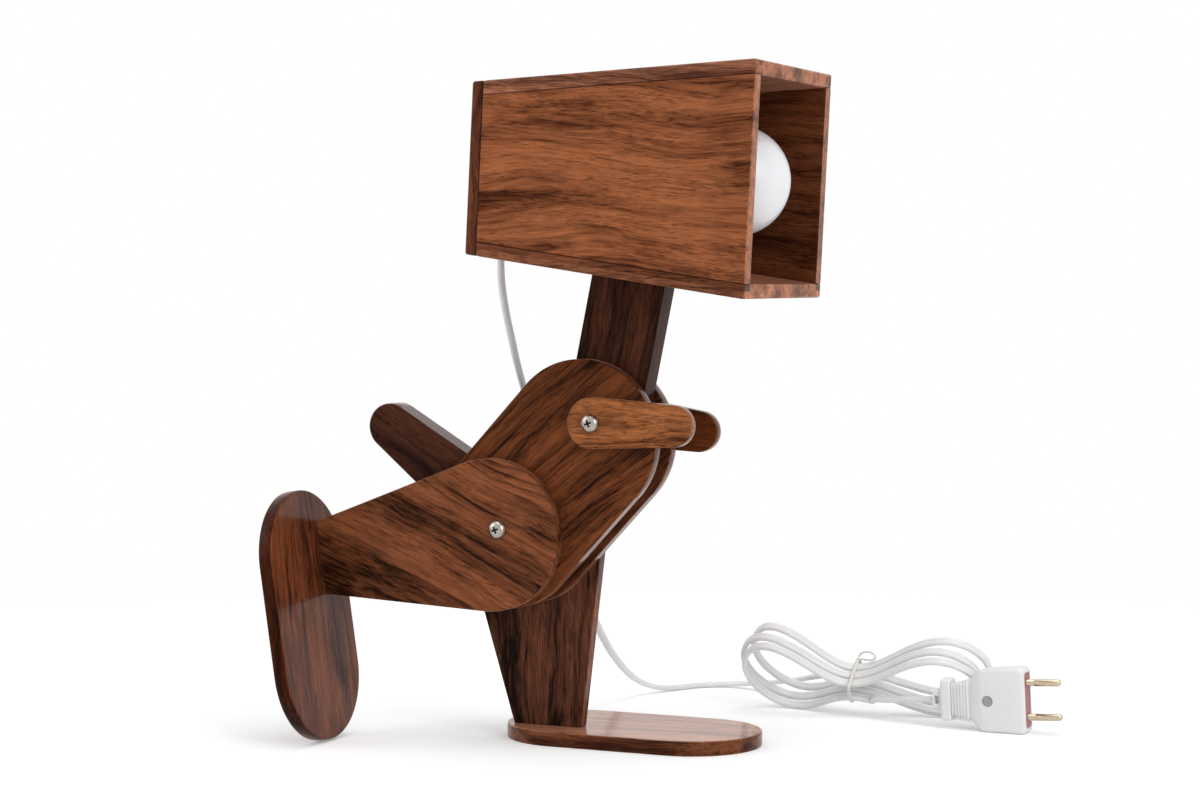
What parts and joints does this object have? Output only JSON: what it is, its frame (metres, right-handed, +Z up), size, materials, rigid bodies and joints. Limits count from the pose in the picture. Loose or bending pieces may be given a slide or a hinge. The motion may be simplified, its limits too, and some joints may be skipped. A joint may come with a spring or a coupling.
{
  "type": "jointed wooden figure desk lamp",
  "caption": "Desk lamp shaped as a striding wooden figure: flat boards pivot on two bolts, and an open box head shades a screw-in bulb; a flat lead ends in a two-pin plug.",
  "frame": {"origin": "underside of the base foot, half way along it, in the middle plane of the figure", "axes": "+X forward, the way the head looks; +Y to the figure's left; +Z up, along the height"},
  "size_m": [0.3854, 0.3044, 0.3585],
  "materials": {
    "walnut": "glossy lacquered walnut-brown board",
    "dark_walnut": "glossy lacquered dark walnut-brown board",
    "warm_walnut": "glossy lacquered warm walnut-brown board",
    "zinc_steel": "zinc-plated",
    "cap_metal": "bright",
    "bulb_housing": "satin",
    "frosted_dome": "frosted",
    "brass": "satin",
    "holder_plastic": "matte",
    "white_moulding": "matte soft moulding",
    "lead_jacket": "satin soft jacket",
    "tie": "matte",
    "plug_plastic": "satin",
    "plug_red": "matte"
  },
  "bodies": {
    "torso": {"torso_plate_right": "walnut", "torso_plate_left": "walnut", "hip_bolt": "zinc_steel", "hip_nut": "zinc_steel", "shoulder_bolt": "zinc_steel", "shoulder_nut": "zinc_steel", "cord_run": "lead_jacket", "cord_hank": "lead_jacket", "cord_end": "lead_jacket", "cord_tie": "tie", "plug_body": "plug_plastic", "plug_grip": "plug_plastic", "plug_face": "plug_red", "plug_pins": "brass", "plug_screw": "zinc_steel"},
    "left_leg": {"standing_leg": "walnut", "base_foot": "walnut", "standing_leg_screws": "zinc_steel"},
    "right_leg": {"raised_leg": "walnut", "raised_foot": "dark_walnut", "raised_leg_screws": "zinc_steel"},
    "tail": {"tail": "dark_walnut"},
    "head": {"neck": "dark_walnut", "neck_screws": "zinc_steel", "head_bottom": "warm_walnut", "head_top": "warm_walnut", "head_side_right": "warm_walnut", "head_side_left": "warm_walnut", "head_back": "dark_walnut", "lamp_holder": "holder_plastic", "holder_screws": "zinc_steel", "holder_sleeve": "brass", "holder_contact": "brass", "bulb_cap": "cap_metal", "bulb_body": "bulb_housing", "bulb_dome": "frosted_dome", "lead_bush": "white_moulding", "inner_lead": "lead_jacket"},
    "right_arm": {"right_arm": "warm_walnut"},
    "left_arm": {"left_arm": "warm_walnut"}
  },
  "joints": [
    {"name": "left_hip", "type": "hinge", "parent": "torso", "child": "left_leg", "pos_m": [-0.054, 0, 0.1175], "axis": [0, 1, 0], "range_deg": [-25, 0]},
    {"name": "right_hip", "type": "hinge", "parent": "torso", "child": "right_leg", "pos_m": [-0.054, 0, 0.1175], "axis": [0, 1, 0], "range_deg": [0, 40]},
    {"name": "tail_pivot", "type": "hinge", "parent": "torso", "child": "tail", "pos_m": [-0.054, 0, 0.1175], "axis": [0, 1, 0], "range_deg": [-30, 25]},
    {"name": "neck_pivot", "type": "hinge", "parent": "torso", "child": "head", "pos_m": [-0.0005, 0, 0.17508], "axis": [0, 1, 0], "range_deg": [-10, 20], "deforming": ["cord_run"]},
    {"name": "right_shoulder", "type": "hinge", "parent": "torso", "child": "right_arm", "pos_m": [-0.0005, 0, 0.17508], "axis": [0, 1, 0], "range_deg": [-100, 60]},
    {"name": "left_shoulder", "type": "hinge", "parent": "torso", "child": "left_arm", "pos_m": [-0.0005, 0, 0.17508], "axis": [0, 1, 0], "range_deg": [-100, 60]}
  ]
}
